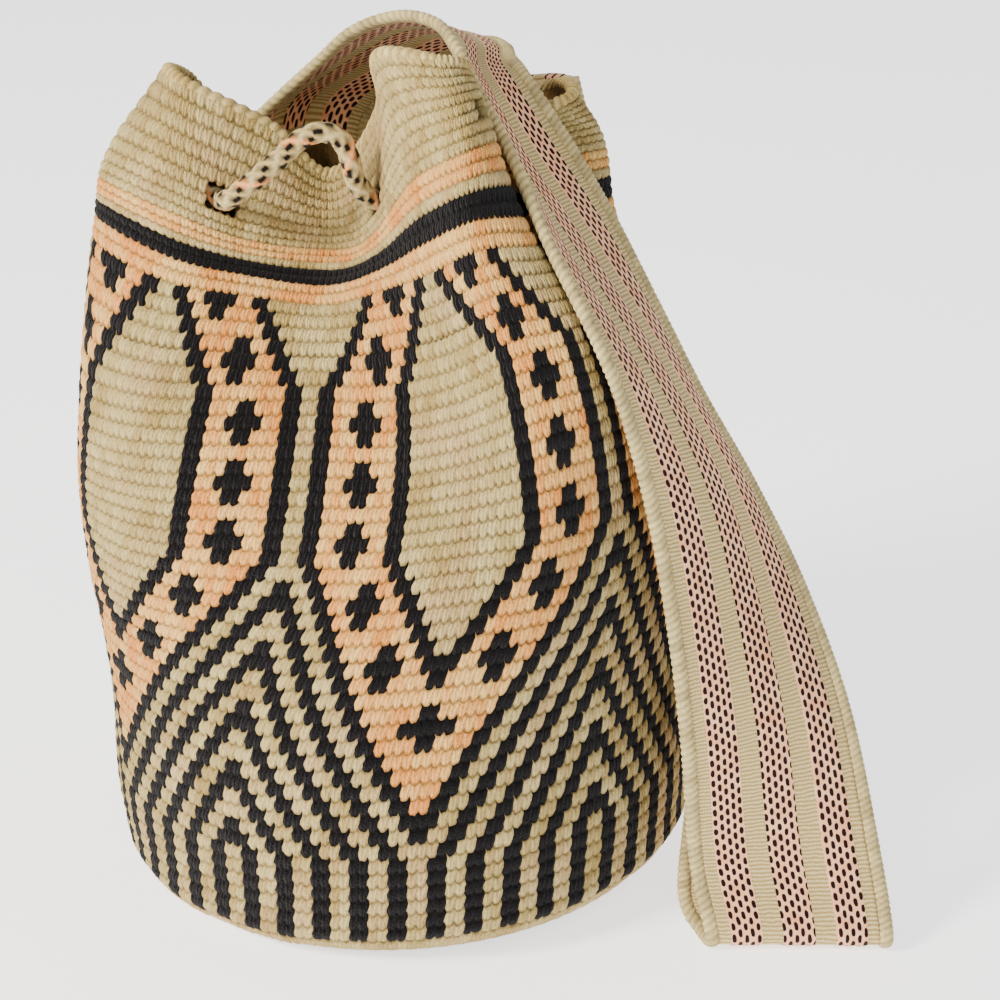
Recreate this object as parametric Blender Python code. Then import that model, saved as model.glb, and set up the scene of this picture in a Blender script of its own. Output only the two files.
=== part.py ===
"""Wayuu mochila: a crocheted bucket bag with a woven shoulder strap and a laced drawstring.

Metres, +Z up, the front towards -Y. The origin is the middle of the base on the surface it stands on.
The cloth is counted as its maker counts it: STITCHES round and ROWS up. Stitch 0 is on the axis of
the front motif and the count runs to the right, from -100 to +99.
"""
import math

import bmesh
import bpy
import numpy as np

MM = 0.001
STITCHES = 200
ROWS = 60
ROW_HEIGHT = 5.8 * MM
BASE_CLEAR = 1.0 * MM         # height of the base edge on its low, left side
BASE_LIFT = 5.7 * MM          # half of how much higher its right side is
LEAN = 0.055                  # the bag leans to the left by this part of its height
CLOTH = 4.0 * MM              # crocheted cloth
BASE_PATCH = (-14 * MM, 0.0, 60 * MM)   # flat part of the base that touches: x, y, radius

STRAP_WIDTH = 70 * MM
STRAP_THICK = 3.0 * MM
BAND_FROM = 0.087             # the woven band lies between these parts of the width
EDGING_WIDE = 5.7 * MM        # crocheted cord along each side of the band
EDGING_THICK = 4.4 * MM
CORD_DIAMETER = 7.0 * MM
GAP = 0.4 * MM                # between a cord end and its tassel
TASSEL_PROFILE = [(0, 3.8), (2.5, 5.8), (7, 6.2), (11, 4.4), (13, 4.6), (20, 6.8), (34, 7.8), (46, 7.2)]
TASSEL_TURN = 20              # drop, in mm, over which it turns to hang straight
TASSEL_SIDES = 10
SMOOTH_ANGLE = 40              # degrees; sharper folds keep their edge

EYELETS = (-86, -60, -34, -10, 16, 40, 66, 90)   # middle stitch of each
EYELET_HALF = 2.3             # stitches to each side
EYELET_ROWS = (52.8, 55.2)
COLUMNS_BETWEEN = 5           # cloth columns from one eyelet to the next

# Outlines of the bag at some rows: every tenth stitch from -100, as x, y and the sag of the row, in mm.
OUTLINES = {
    26: [(-6, 101, -12), (-42, 91, -12), (-72, 70, -10), (-95, 38, -8), (-106, 2, -6),
         (-107, -34, -6), (-91, -61, -6), (-64, -75, -7), (-30, -85, -6), (0, -94, -4),
         (30, -97, 0), (60, -92, 1), (84, -74, 1), (99, -50, 0), (106, -20, -1),
         (106, 10, -1), (99, 40, -2), (82, 66, -6), (56, 88, -10), (25, 99, -12)],
    36: [(-8, 94, -34), (-38, 90, -34), (-68, 68, -30), (-92, 36, -24), (-104, 0, -16),
         (-101, -35, -16), (-81, -58, -15), (-51, -65, -15), (-20, -66, -16), (8, -72, -16),
         (32, -82, -8), (54, -90, 3), (76, -84, 5), (84, -60, 0), (92, -34, -8),
         (98, -6, -12), (92, 26, -14), (74, 52, -24), (50, 76, -32), (22, 90, -36)],
    44: [(-10, 74, -56), (-36, 76, -54), (-62, 62, -48), (-83, 38, -34), (-96, 12, -18),
         (-93, -16, -15), (-67, -39, -21), (-40, -42, -26), (-14, -44, -30), (6, -54, -24),
         (24, -66, -15), (42, -76, -5), (60, -68, -8), (62, -40, -16), (78, -16, -20),
         (90, 8, -24), (82, 34, -26), (64, 52, -42), (40, 62, -54), (12, 66, -60)],
    54: [(-14, 62, -80), (-38, 58, -76), (-50, 36, -70), (-56, 22, -56), (-76, 14, -50),
         (-86, -10, -40), (-62, -28, -46), (-36, -24, -60), (-10, -14, -70), (6, -28, -58),
         (18, -50, -32), (38, -62, -22), (46, -42, -26), (34, -12, -48), (50, 5, -54),
         (84, 14, -50), (72, 38, -54), (50, 38, -68), (30, 28, -84), (6, 40, -90)],
    60: [(-14, 62, -94), (-30, 60, -92), (-34, 38, -90), (-44, 24, -78), (-60, 22, -58),
         (-65, 0, -48), (-57, -18, -49), (-28, -14, -67), (-10, -6, -87), (8, -12, -64),
         (10, -37, -41), (32, -52, -40), (42, -40, -48), (34, -10, -73), (48, 4, -83),
         (75, 9, -73), (74, 34, -73), (54, 40, -80), (30, 30, -96), (1, 44, -104)],
}
ROUND_ROWS = {0: (102, 3.0), 1: (107, 3.0), 3: (108.5, 3.5), 14: (108, 7.0)}   # radius mm, twist deg
CLOTH_ROWS = (0, 1, 3, 6, 10, 14, 18, 22, 26, 30, 33, 36, 39, 42, 44.5, 47, 50, 52.8, 55.2, 57.6, 60)
BASE_RINGS = (1.0, 0.66, 0.33)    # parts of the way from the base edge in to the flat patch

# Strap: left edge, right edge (mm) and how far the middle bows out of the line between them.
STRAP_STATIONS = [
    ((-64, 46, 253), (-14, 66, 253), -14), ((-61, 44, 262), (-12, 68, 262), -14),
    ((-50, 39, 275), (-4, 67, 272), -12), ((-33, 35, 292), (10, 72, 280), -8),
    ((-19, 25, 307), (24, 74, 288), -4), ((-2, 12, 316), (32, 62, 294), 0),
    ((12, -2, 317), (38, 46, 296), 4), ((20, -18, 312), (40, 32, 296), 8),
    ((28, -33, 300), (45, 11, 295), 9), ((38, -45, 284), (60, -2, 275), 10),
    ((51, -69, 257), (75, -11, 250), 5), ((66, -90, 230), (92, -25, 218), 0),
    ((75, -91, 205), (106, -33, 191), -4), ((84, -86, 168), (125, -36, 158), -7),
    ((92, -84, 124), (144, -42, 122), -5), ((98, -84, 77), (161, -58, 80), -3),
    ((102, -84, 32), (172, -78, 33), 0), ((108, -94, 7), (176, -94, 7), 0),
    ((105, -84, 3), (174, -84, 3), 0), ((99, -74, 14), (166, -70, 14), 0),
    ((103, -60, 50), (151, -17, 50), 0), ((107, -26, 100), (125, 41, 100), 0),
    ((106, 9, 150), (87, 76, 150), 0), ((90, 30, 198), (55, 90, 194), 0),
    ((75, 42, 240), (35, 88, 228), 5), ((67, 47, 268), (21, 74, 254), 10),
    ((63, 47, 284), (17, 67, 270), 10),
]
STEPS_PER_STATION = 3
BAND_COLUMNS = 6

# Drawstring on the cloth: stitch, row and mm outside (+) or inside (-) the outer face.
TAIL_LEFT = [(-73, 38, 11), (-72, 43, 9), (-69, 48, 8), (-61.5, 54.3, 6.4)]
LACED_LEFT = [(-59.6, 54.3, -3), (-58, 54, -12), (-51, 54, -14), (-44, 54, -12), (-38, 54, -12), (-34, 54, -3)]
# The front bight stands clear of the cloth: x, y, z in mm.
BIGHT = [(-58, -34, 263), (-52, -37, 268), (-45, -38, 274), (-38, -37, 280), (-32, -36, 285),
         (-25, -36, 287), (-19, -36, 284), (-16, -36, 277), (-14, -33, 268)]
LACED_ROUND = [(-10, 54, -2), (-7, 54, -11), (1, 54, -13), (9, 54, -12), (16, 54, -12), (23, 54, -11),
               (30, 54, -11), (37, 54, -10), (44, 54, -11), (51, 54, -12), (58, 54, -11),
               (65, 54, -11), (72, 54, -11), (79, 54, -11), (86, 54, -11), (92, 54, -11),
               (98, 54, -12), (104, 54, -13), (112, 53.9, -10), (113.9, 54.1, -2)]
TAIL_RIGHT = [(116, 53.7, 6), (121, 48, 9), (123, 43, 10), (123, 37, 12)]
CORD_STEP = 11 * MM


def clear_scene():
    for item in list(bpy.data.objects):
        bpy.data.objects.remove(item, do_unlink=True)


def material(name, colour, roughness):
    """A cloth or yarn finish."""
    made = bpy.data.materials.new(name)
    made.use_nodes = True
    shader = made.node_tree.nodes["Principled BSDF"]
    shader.inputs["Base Color"].default_value = (*colour, 1.0)
    shader.inputs["Roughness"].default_value = roughness
    shader.inputs["Metallic"].default_value = 0.0
    return made


def closed_curve(points, place):
    """A smooth closed curve through evenly counted points; place counts from the first one."""
    count = len(points)
    first = math.floor(place)
    part = place - first
    before, start, end, after = (points[(first + k) % count] for k in (-1, 0, 1, 2))
    return 0.5 * (2 * start + (end - before) * part
                  + (2 * before - 5 * start + 4 * end - after) * part ** 2
                  + (3 * start - before - 3 * end + after) * part ** 3)


def open_curve(points, place):
    """A smooth open curve through the points."""
    ends = [2 * points[0] - points[1], *points, 2 * points[-1] - points[-2]]
    first = min(math.floor(place), len(points) - 2)
    part = place - first
    before, start, end, after = ends[first:first + 4]
    return 0.5 * (2 * start + (end - before) * part
                  + (2 * before - 5 * start + 4 * end - after) * part ** 2
                  + (3 * start - before - 3 * end + after) * part ** 3)


def outline_point(row, stitch):
    """One drawn outline at a stitch: x, y and sag."""
    if row in ROUND_ROWS:
        radius, twist = ROUND_ROWS[row]
        turn = math.radians(stitch * 360 / STITCHES + twist)
        return np.array([radius * math.sin(turn), -radius * math.cos(turn), 0.0]) * MM
    points = [np.array(point, float) for point in OUTLINES[row]]
    return closed_curve(points, (stitch + 100) / 10) * MM


def outline_slope(rows, drawn, index):
    """How the outlines change per row at one of the drawn rows."""
    if index in (0, len(rows) - 1):
        near = 1 if index == 0 else index - 1
        return (drawn[near] - drawn[index]) / (rows[near] - rows[index])
    below = rows[index] - rows[index - 1]
    above = rows[index + 1] - rows[index]
    slope_below = (drawn[index] - drawn[index - 1]) / below
    slope_above = (drawn[index + 1] - drawn[index]) / above
    return (slope_below * above + slope_above * below) / (below + above)


def cloth_column(stitch, wanted_rows):
    """Points of the cloth's outer face up one column of stitches."""
    rows = sorted([*ROUND_ROWS, *OUTLINES])
    drawn = [outline_point(row, stitch) for row in rows]
    edge_turn = math.atan2(drawn[0][0], -drawn[0][1])
    edge_height = BASE_CLEAR + BASE_LIFT * (1 + math.sin(edge_turn))
    column = []
    for row in wanted_rows:
        index = max(k for k in range(len(rows) - 1) if rows[k] <= row)
        gap = rows[index + 1] - rows[index]
        part = (row - rows[index]) / gap
        start_slope = outline_slope(rows, drawn, index)
        end_slope = outline_slope(rows, drawn, index + 1)
        point = ((2 * part ** 3 - 3 * part ** 2 + 1) * drawn[index]
                 + (part ** 3 - 2 * part ** 2 + part) * gap * start_slope
                 + (3 * part ** 2 - 2 * part ** 3) * drawn[index + 1]
                 + (part ** 3 - part ** 2) * gap * end_slope)
        point[2] += edge_height + row * ROW_HEIGHT
        point[0] -= LEAN * point[2]
        column.append(point)
    return column


def cloth_point(stitch, row, outside):
    """A point held off the cloth's outer face, in metres."""
    step = 0.5
    middle = cloth_column(stitch, [row - step, row, row + step])
    right = cloth_column(stitch + step, [row])[0]
    left = cloth_column(stitch - step, [row])[0]
    normal = np.cross(right - left, middle[2] - middle[0])
    return middle[1] + outside * normal / np.linalg.norm(normal)


def cloth_columns():
    """Stitch numbers of the mesh columns, with one column exactly on each eyelet."""
    numbers = []
    for index, eyelet in enumerate(EYELETS):
        following = EYELETS[(index + 1) % len(EYELETS)] + (STITCHES if index == len(EYELETS) - 1 else 0)
        start = eyelet + EYELET_HALF
        end = following - EYELET_HALF
        numbers.append(eyelet - EYELET_HALF)
        numbers.extend(start + (end - start) * k / COLUMNS_BETWEEN for k in range(COLUMNS_BETWEEN))
    return numbers


def cloth_faces():
    """Outer and inner faces of the crocheted cloth as rings of points, from the base patch up."""
    numbers = cloth_columns()
    columns = [cloth_column(number, CLOTH_ROWS) for number in numbers]
    rings = []
    for inward in BASE_RINGS:
        ring = []
        for column in columns:
            edge = column[0]
            turn = math.atan2(edge[0], -edge[1])
            patch = np.array([BASE_PATCH[0] + BASE_PATCH[2] * math.sin(turn),
                              BASE_PATCH[1] - BASE_PATCH[2] * math.cos(turn), 0.0])
            point = edge + (patch - edge) * inward
            point[2] = edge[2] * (1 - inward) ** 2
            ring.append(point)
        rings.append(ring)
    rings.extend([column[k] for column in columns] for k in range(len(CLOTH_ROWS)))
    outer = np.array(rings)
    round_way = np.roll(outer, -1, axis=1) - np.roll(outer, 1, axis=1)
    up_way = np.gradient(outer, axis=0)
    normals = np.cross(round_way, up_way)
    normals /= np.linalg.norm(normals, axis=2)[..., None]
    normals[0] = (0, 0, -1)
    return outer, outer - normals * CLOTH


def new_object(name, mesh_maker, finish, smooth_angle=SMOOTH_ANGLE):
    """A closed mesh as a named object."""
    shape = bmesh.new()
    mesh_maker(shape)
    bmesh.ops.recalc_face_normals(shape, faces=shape.faces)
    mesh = bpy.data.meshes.new(name)
    shape.to_mesh(mesh)
    shape.free()
    mesh.shade_smooth()
    mesh.set_sharp_from_angle(angle=math.radians(smooth_angle))
    item = bpy.data.objects.new(name, mesh)
    item.data.materials.append(finish)
    bpy.context.collection.objects.link(item)
    return item


def make_bag_body(shape):
    """Base, wall and gathered mouth, crocheted in one piece, with open eyelets."""
    outer, inner = cloth_faces()
    layers = []
    for layer in (outer, inner):
        layers.append([[shape.verts.new(point) for point in ring] for ring in layer])
    outside, inside = layers
    last = len(outside) - 1
    count = len(outside[0])
    eyelet_ring = len(BASE_RINGS) + CLOTH_ROWS.index(EYELET_ROWS[0])
    for ring in range(last):
        for column in range(count):
            after = (column + 1) % count
            corners = [(ring, column), (ring, after), (ring + 1, after), (ring + 1, column)]
            if ring == eyelet_ring and column % (COLUMNS_BETWEEN + 1) == 0:
                for k in range(4):
                    (ring_a, column_a), (ring_b, column_b) = corners[k], corners[(k + 1) % 4]
                    shape.faces.new((outside[ring_a][column_a], outside[ring_b][column_b],
                                     inside[ring_b][column_b], inside[ring_a][column_a]))
                continue
            shape.faces.new([outside[a][b] for a, b in corners])
            shape.faces.new([inside[a][b] for a, b in reversed(corners)])
    shape.faces.new(list(reversed(outside[0])))
    shape.faces.new(inside[0])
    for column in range(count):
        after = (column + 1) % count
        shape.faces.new((outside[last][column], outside[last][after],
                         inside[last][after], inside[last][column]))


def strap_frame(place):
    """Edges, bow and normal of the strap at a place counted in stations."""
    left = open_curve([np.array(station[0], float) for station in STRAP_STATIONS], place) * MM
    right = open_curve([np.array(station[1], float) for station in STRAP_STATIONS], place) * MM
    bow = open_curve([float(station[2]) for station in STRAP_STATIONS], place) * MM
    return left, right, bow


def strap_point(place, across, proud):
    """A point of the strap: across is 0 at its left edge and 1 at its right one."""
    step = 0.02
    left, right, bow = strap_frame(place)
    low = sum(strap_frame(max(place - step, 0))[:2]) / 2
    high = sum(strap_frame(min(place + step, len(STRAP_STATIONS) - 1))[:2]) / 2
    width_way = right - left
    length_way = high - low
    bow_way = np.cross(width_way, length_way)
    bow_way /= np.linalg.norm(bow_way)
    tilt = width_way + bow_way * 4 * bow * (1 - 2 * across)
    normal = np.cross(tilt, length_way)
    normal /= np.linalg.norm(normal)
    return left + width_way * across + bow_way * 4 * bow * across * (1 - across) + normal * proud


def strap_places():
    steps = (len(STRAP_STATIONS) - 1) * STEPS_PER_STATION
    return [step / STEPS_PER_STATION for step in range(steps + 1)]


def sweep(shape, section):
    """Skin a closed section, given as across and proud pairs, along the strap."""
    loops = []
    for place in strap_places():
        loops.append([shape.verts.new(strap_point(place, across, proud)) for across, proud in section])
    count = len(section)
    for before, after in zip(loops, loops[1:]):
        for k in range(count):
            turn = (k + 1) % count
            shape.faces.new((before[k], before[turn], after[turn], after[k]))
    return loops


def make_strap_band(shape):
    """The flat woven band, sewn to the mouth at its two ends."""
    across = np.linspace(BAND_FROM, 1 - BAND_FROM, BAND_COLUMNS + 1)
    half = STRAP_THICK / 2
    section = [(part, half) for part in across] + [(part, -half) for part in across[::-1]]
    loops = sweep(shape, section)
    for loop in (loops[0], loops[-1]):
        for k in range(BAND_COLUMNS):
            shape.faces.new((loop[k], loop[k + 1], loop[-2 - k], loop[-1 - k]))


def edging_maker(side):
    """The crocheted cord along one side of the band."""
    def make(shape):
        half = EDGING_WIDE / STRAP_WIDTH / 2
        middle = half if side == 0 else 1 - half
        section = [(middle + half * math.cos(turn), EDGING_THICK / 2 * math.sin(turn))
                   for turn in (math.radians(60 * k) for k in range(6))]
        loops = sweep(shape, section)
        shape.faces.new(loops[0])
        shape.faces.new(loops[-1])
    return make


def cord_route():
    """Centreline of the drawstring from one tassel to the other, evenly spaced."""
    through = [cloth_point(stitch, row, off * MM) for stitch, row, off in TAIL_LEFT + LACED_LEFT]
    through += [np.array(point) * MM for point in BIGHT]
    through += [cloth_point(stitch, row, off * MM) for stitch, row, off in LACED_ROUND + TAIL_RIGHT]
    fine = [open_curve(through, k / 12) for k in range((len(through) - 1) * 12 + 1)]
    lengths = np.concatenate([[0], np.cumsum([np.linalg.norm(b - a) for a, b in zip(fine, fine[1:])])])
    count = round(lengths[-1] / CORD_STEP)
    wanted = np.linspace(0, lengths[-1], count + 1)
    return [np.array([np.interp(at, lengths, [p[axis] for p in fine]) for axis in range(3)])
            for at in wanted]


def make_drawstring(finish, route):
    """Round braided cord as a bevelled curve."""
    curve = bpy.data.curves.new("drawstring", "CURVE")
    curve.dimensions = "3D"
    curve.bevel_depth = CORD_DIAMETER / 2
    curve.bevel_resolution = 2
    curve.use_fill_caps = True
    line = curve.splines.new("POLY")
    line.points.add(len(route) - 1)
    for point, place in zip(line.points, route):
        point.co = (*place, 1.0)
    item = bpy.data.objects.new("drawstring", curve)
    item.data.materials.append(finish)
    bpy.context.collection.objects.link(item)


def tassel_maker(end, before):
    """A bound head and a skirt of yarn that leaves a cord end and turns to hang straight down."""
    def make(shape):
        along = (end - before) / np.linalg.norm(end - before)
        down = np.array([0.0, 0.0, -1.0])
        centre = end + along * GAP
        side = np.cross(along, (0.0, 1.0, 0.0))
        loops = []
        last_drop = 0.0
        for drop, radius in TASSEL_PROFILE:
            axis = along + (down - along) * min(drop / TASSEL_TURN, 1.0)
            axis /= np.linalg.norm(axis)
            centre = centre + axis * (drop - last_drop) * MM
            last_drop = drop
            across = side - axis * (side @ axis)
            across /= np.linalg.norm(across)
            other = np.cross(axis, across)
            turns = [2 * math.pi * k / TASSEL_SIDES for k in range(TASSEL_SIDES)]
            loops.append([shape.verts.new(centre + (across * math.cos(turn) + other * math.sin(turn))
                                          * radius * MM) for turn in turns])
        for upper, lower in zip(loops, loops[1:]):
            for k in range(TASSEL_SIDES):
                after = (k + 1) % TASSEL_SIDES
                shape.faces.new((upper[k], upper[after], lower[after], lower[k]))
        shape.faces.new(loops[0])
        shape.faces.new(loops[-1])
    return make


def main():
    clear_scene()
    beige = material("beige_cotton", (0.56, 0.50, 0.34), 0.9)
    woven = material("woven_strap_cotton", (0.50, 0.41, 0.28), 0.85)
    braided = material("braided_cord_cotton", (0.58, 0.46, 0.32), 0.85)
    new_object("bag_body", make_bag_body, beige)
    new_object("strap_band", make_strap_band, woven)
    new_object("strap_edging_left", edging_maker(0), beige)
    new_object("strap_edging_right", edging_maker(1), beige)
    route = cord_route()
    make_drawstring(braided, route)
    new_object("tassel_left", tassel_maker(route[0], route[1]), beige)
    new_object("tassel_right", tassel_maker(route[-1], route[-2]), beige)


main()
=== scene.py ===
import math

import bpy
import numpy as np
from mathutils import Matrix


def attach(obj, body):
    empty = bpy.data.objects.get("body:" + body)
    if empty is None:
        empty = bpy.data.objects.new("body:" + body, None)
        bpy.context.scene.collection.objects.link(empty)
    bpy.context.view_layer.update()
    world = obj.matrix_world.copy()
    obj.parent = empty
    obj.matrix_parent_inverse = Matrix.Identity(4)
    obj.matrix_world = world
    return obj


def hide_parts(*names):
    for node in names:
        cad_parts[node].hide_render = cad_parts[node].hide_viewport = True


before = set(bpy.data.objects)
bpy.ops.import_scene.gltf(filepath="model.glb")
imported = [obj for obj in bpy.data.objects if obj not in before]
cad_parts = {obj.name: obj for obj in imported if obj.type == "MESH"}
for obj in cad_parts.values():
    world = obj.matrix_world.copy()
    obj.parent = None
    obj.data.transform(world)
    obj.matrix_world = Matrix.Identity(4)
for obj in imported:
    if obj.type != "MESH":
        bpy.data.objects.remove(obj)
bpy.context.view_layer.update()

MM = 0.001
STITCHES = 200
ROWS = 60
ROW_HEIGHT = 5.8 * MM
BASE_CLEAR = 1.0 * MM
BASE_LIFT = 5.7 * MM
LEAN = 0.055
WALL = 3.4 * MM
BASE_PATCH = (-14 * MM, 0.0, 60 * MM)
BAND_EDGE = 0.087
CORD_RADIUS = 3.5 * MM
EYELETS = (-86, -60, -34, -10, 16, 40, 66, 90)
EYELET_ROWS = (53, 55)
EYELET_HALF = 2
OPEN_ROW_LINES = (0.0, 0.2, 0.5, 0.8)
PER_STITCH = 5
BEIGE, PEACH, BLACK = 0, 1, 2
TIP = 0.02

CAMERA_AT = (0.0347, -0.945, 0.5387)
CAMERA_DOWN = 0.4023
LENS_MM = 99.6
SENSOR_MM = 36.0
LIT_POINT = (0.02, 0.0, 0.14)
LIGHTS = (("key", (-1.3, -0.9, 1.15), 64, 0.5, (1.0, 0.93, 0.82)),
          ("fill", (0.1, -1.6, 1.0), 7, 1.0, (1.0, 0.97, 0.93)),
          ("top", (0.0, 0.5, 1.8), 12, 1.4, (1.0, 1.0, 1.0)))

# The base: points round it, rings of stitches, and how far in its edge curves and its rings stop.
BASE_STEPS = 400
BASE_RINGS = 18
RING_LINES = 3
LINING_EVERY = 6
BASE_CURVE = 0.42
BASE_STOP = 0.985
BASE_YARNS = (BEIGE, BLACK, BLACK, PEACH, BEIGE, BEIGE, BLACK, BEIGE, PEACH,
              PEACH, BLACK, BEIGE, BEIGE, PEACH, BLACK, BEIGE, BEIGE, PEACH)

# The cords: how long one turn of a strand is, and the points round each.
BRAID_PITCH = 22 * MM
BRAID_SIDES = 20
CHAIN_SIDES = 12
CHAIN_STEPS = 1600
TASSEL_SIDES = 48

# The band: cells across, and each dotted stripe's middle and half width as shares of the strap.
STRIPES = ((0.2225, 0.0825), (0.5, 0.085), (0.7775, 0.0825))
BAND_CELLS = 44
BAND_OVERLAP = 0.012
BAND_FACE = 1.15
STRIPE_PROUD = 0.35
CHAIN_MIDDLE = 0.043

OUTLINES = {
    26: [(-6, 101, -12), (-42, 91, -12), (-72, 70, -10), (-95, 38, -8), (-106, 2, -6),
         (-107, -34, -6), (-91, -61, -6), (-64, -75, -7), (-30, -85, -6), (0, -94, -4),
         (30, -97, 0), (60, -92, 1), (84, -74, 1), (99, -50, 0), (106, -20, -1),
         (106, 10, -1), (99, 40, -2), (82, 66, -6), (56, 88, -10), (25, 99, -12)],
    36: [(-8, 94, -34), (-38, 90, -34), (-68, 68, -30), (-92, 36, -24), (-104, 0, -16),
         (-101, -35, -16), (-81, -58, -15), (-51, -65, -15), (-20, -66, -16), (8, -72, -16),
         (32, -82, -8), (54, -90, 3), (76, -84, 5), (84, -60, 0), (92, -34, -8),
         (98, -6, -12), (92, 26, -14), (74, 52, -24), (50, 76, -32), (22, 90, -36)],
    44: [(-10, 74, -56), (-36, 76, -54), (-62, 62, -48), (-83, 38, -34), (-96, 12, -18),
         (-93, -16, -15), (-67, -39, -21), (-40, -42, -26), (-14, -44, -30), (6, -54, -24),
         (24, -66, -15), (42, -76, -5), (60, -68, -8), (62, -40, -16), (78, -16, -20),
         (90, 8, -24), (82, 34, -26), (64, 52, -42), (40, 62, -54), (12, 66, -60)],
    54: [(-14, 62, -80), (-38, 58, -76), (-50, 36, -70), (-56, 22, -56), (-76, 14, -50),
         (-86, -10, -40), (-62, -28, -46), (-36, -24, -60), (-10, -14, -70), (6, -28, -58),
         (18, -50, -32), (38, -62, -22), (46, -42, -26), (34, -12, -48), (50, 5, -54),
         (84, 14, -50), (72, 38, -54), (50, 38, -68), (30, 28, -84), (6, 40, -90)],
    60: [(-14, 62, -94), (-30, 60, -92), (-34, 38, -90), (-44, 24, -78), (-60, 22, -58),
         (-65, 0, -48), (-57, -18, -49), (-28, -14, -67), (-10, -6, -87), (8, -12, -64),
         (10, -37, -41), (32, -52, -40), (42, -40, -48), (34, -10, -73), (48, 4, -83),
         (75, 9, -73), (74, 34, -73), (54, 40, -80), (30, 30, -96), (1, 44, -104)],
}
ROUND_ROWS = {0: (102, 3.0), 1: (107, 3.0), 3: (108.5, 3.5), 14: (108, 7.0)}
DRAWN_ROWS = sorted([*ROUND_ROWS, *OUTLINES])

STRAP_STATIONS = [
    ((-64, 46, 253), (-14, 66, 253), -14), ((-61, 44, 262), (-12, 68, 262), -14),
    ((-50, 39, 275), (-4, 67, 272), -12), ((-33, 35, 292), (10, 72, 280), -8),
    ((-19, 25, 307), (24, 74, 288), -4), ((-2, 12, 316), (32, 62, 294), 0),
    ((12, -2, 317), (38, 46, 296), 4), ((20, -18, 312), (40, 32, 296), 8),
    ((28, -33, 300), (45, 11, 295), 9), ((38, -45, 284), (60, -2, 275), 10),
    ((51, -69, 257), (75, -11, 250), 5), ((66, -90, 230), (92, -25, 218), 0),
    ((75, -91, 205), (106, -33, 191), -4), ((84, -86, 168), (125, -36, 158), -7),
    ((92, -84, 124), (144, -42, 122), -5), ((98, -84, 77), (161, -58, 80), -3),
    ((102, -84, 32), (172, -78, 33), 0), ((108, -94, 7), (176, -94, 7), 0),
    ((105, -84, 3), (174, -84, 3), 0), ((99, -74, 14), (166, -70, 14), 0),
    ((103, -60, 50), (151, -17, 50), 0), ((107, -26, 100), (125, 41, 100), 0),
    ((106, 9, 150), (87, 76, 150), 0), ((90, 30, 198), (55, 90, 194), 0),
    ((75, 42, 240), (35, 88, 228), 5), ((67, 47, 268), (21, 74, 254), 10),
    ((63, 47, 284), (17, 67, 270), 10),
]

TAIL_LEFT = [(-73, 38, 11), (-72, 43, 9), (-69, 48, 8), (-61.5, 54.3, 6.4)]
LACED_LEFT = [(-59.6, 54.3, -3), (-58, 54, -12), (-51, 54, -14), (-44, 54, -12),
              (-38, 54, -12), (-34, 54, -3)]
BIGHT = [(-58, -34, 263), (-52, -37, 268), (-45, -38, 274), (-38, -37, 280), (-32, -36, 285),
         (-25, -36, 287), (-19, -36, 284), (-16, -36, 277), (-14, -33, 268)]
LACED_ROUND = [(-10, 54, -2), (-7, 54, -11), (1, 54, -13), (9, 54, -12), (16, 54, -12), (23, 54, -11),
               (30, 54, -11), (37, 54, -10), (44, 54, -11), (51, 54, -12), (58, 54, -11),
               (65, 54, -11), (72, 54, -11), (79, 54, -11), (86, 54, -11), (92, 54, -11),
               (98, 54, -12), (104, 54, -13), (112, 53.9, -10), (113.9, 54.1, -2)]
TAIL_RIGHT = [(116, 53.7, 6), (121, 48, 9), (123, 43, 10), (123, 37, 12)]


# ---------- curves and surfaces ----------

def cubic(before, start, end, after, part):
    """A smooth curve between start and end that passes all four points."""
    return 0.5 * (2 * start + (end - before) * part
                  + (2 * before - 5 * start + 4 * end - after) * part ** 2
                  + (3 * start - before - 3 * end + after) * part ** 3)


def closed_curve(points, places):
    """Places on a smooth closed curve: 1.5 is halfway from the second point to the third."""
    first = np.floor(places).astype(int)
    part = (places - first)[:, None]
    picks = [points[(first + k) % len(points)] for k in (-1, 0, 1, 2)]
    return cubic(*picks, part)


def open_curve(points, places):
    """Places on a smooth open curve."""
    ends = np.vstack([2 * points[0] - points[1], points, 2 * points[-1] - points[-2]])
    first = np.clip(np.floor(places).astype(int), 0, len(points) - 2)
    part = (places - first)[:, None]
    picks = [ends[first + k] for k in range(4)]
    return cubic(*picks, part)


def outline(row, stitches):
    """One drawn outline at many stitches: x, y and sag, in metres."""
    if row in ROUND_ROWS:
        radius, twist = ROUND_ROWS[row]
        turn = np.radians(stitches * 360 / STITCHES + twist)
        flat = np.zeros_like(turn)
        return np.stack([radius * np.sin(turn), -radius * np.cos(turn), flat], axis=1) * MM
    drawn = np.array(OUTLINES[row], float)
    spacing = STITCHES // len(drawn)
    return closed_curve(drawn, (stitches + STITCHES // 2) / spacing) * MM


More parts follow.
